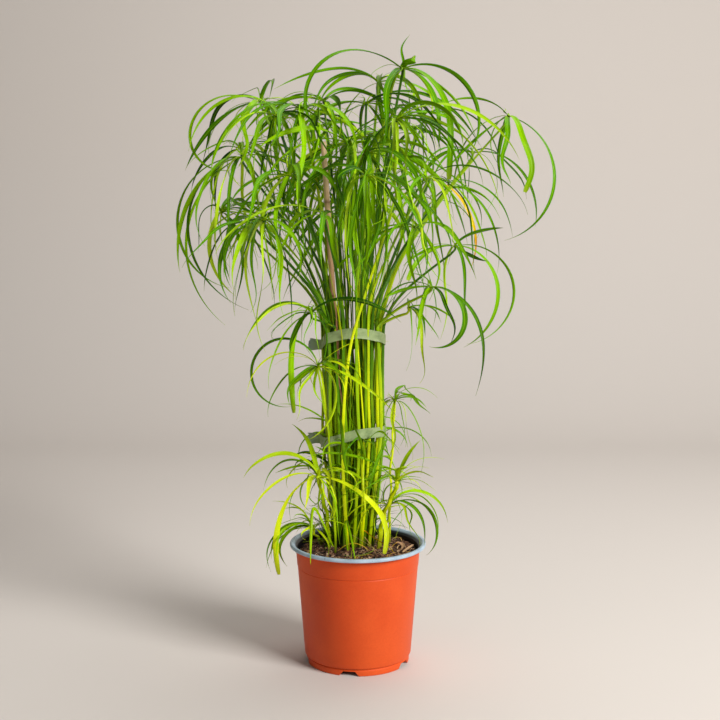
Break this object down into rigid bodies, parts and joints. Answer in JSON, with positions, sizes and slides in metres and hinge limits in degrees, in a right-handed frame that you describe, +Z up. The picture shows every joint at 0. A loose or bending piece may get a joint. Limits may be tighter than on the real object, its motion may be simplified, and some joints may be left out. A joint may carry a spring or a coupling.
{
  "type": "potted umbrella sedge",
  "caption": "Umbrella sedge in a terracotta-coloured plastic nursery pot: tall culms held by two tapes and a cane, each topped with arching grassy bracts.",
  "frame": {"origin": "on the pot's axis, on the surface that the pot stands on", "axes": "+Z up the pot's axis, -Y towards the viewer of the picture, +X to the viewer's right"},
  "size_m": [0.4516, 0.4486, 0.7699],
  "materials": {
    "pot_plastic": "thin terracotta-coloured plastic with a blue-grey inner layer that shows at the rim",
    "peat": "moist fibrous peat",
    "bamboo": "dry tan cane, redder towards its foot",
    "tape": "soft sage-green tape, dark inside",
    "culm": "fresh green stems and glossy narrow bracts",
    "young_shoot": "yellow-green young shoots"
  },
  "bodies": {
    "root": {"pot": "pot_plastic", "soil": "peat", "bamboo_cane": "bamboo", "tape_lower": "tape", "tape_upper": "tape", "culm_01": "culm", "culm_02": "culm", "culm_03": "culm", "culm_04": "culm", "culm_05": "culm", "culm_06": "culm", "culm_07": "culm", "culm_08": "culm", "culm_09": "culm", "culm_10": "culm", "culm_11": "culm", "culm_12": "culm", "culm_13": "culm", "culm_14": "culm", "culm_15": "culm", "culm_16": "culm", "culm_17": "culm", "culm_18": "culm", "culm_19": "culm", "culm_20": "culm", "culm_21": "culm", "culm_22": "culm", "culm_23": "culm", "culm_24": "culm", "culm_25": "culm", "culm_26": "culm", "culm_27": "culm", "culm_28": "culm", "culm_29": "culm", "culm_30": "culm", "culm_31": "culm", "culm_32": "culm", "culm_33": "culm", "culm_34": "culm", "culm_35": "culm", "culm_36": "culm", "shoot_1": "young_shoot", "shoot_2": "young_shoot", "shoot_3": "young_shoot", "shoot_4": "young_shoot", "shoot_5": "young_shoot", "shoot_6": "young_shoot"}
  },
  "joints": []
}
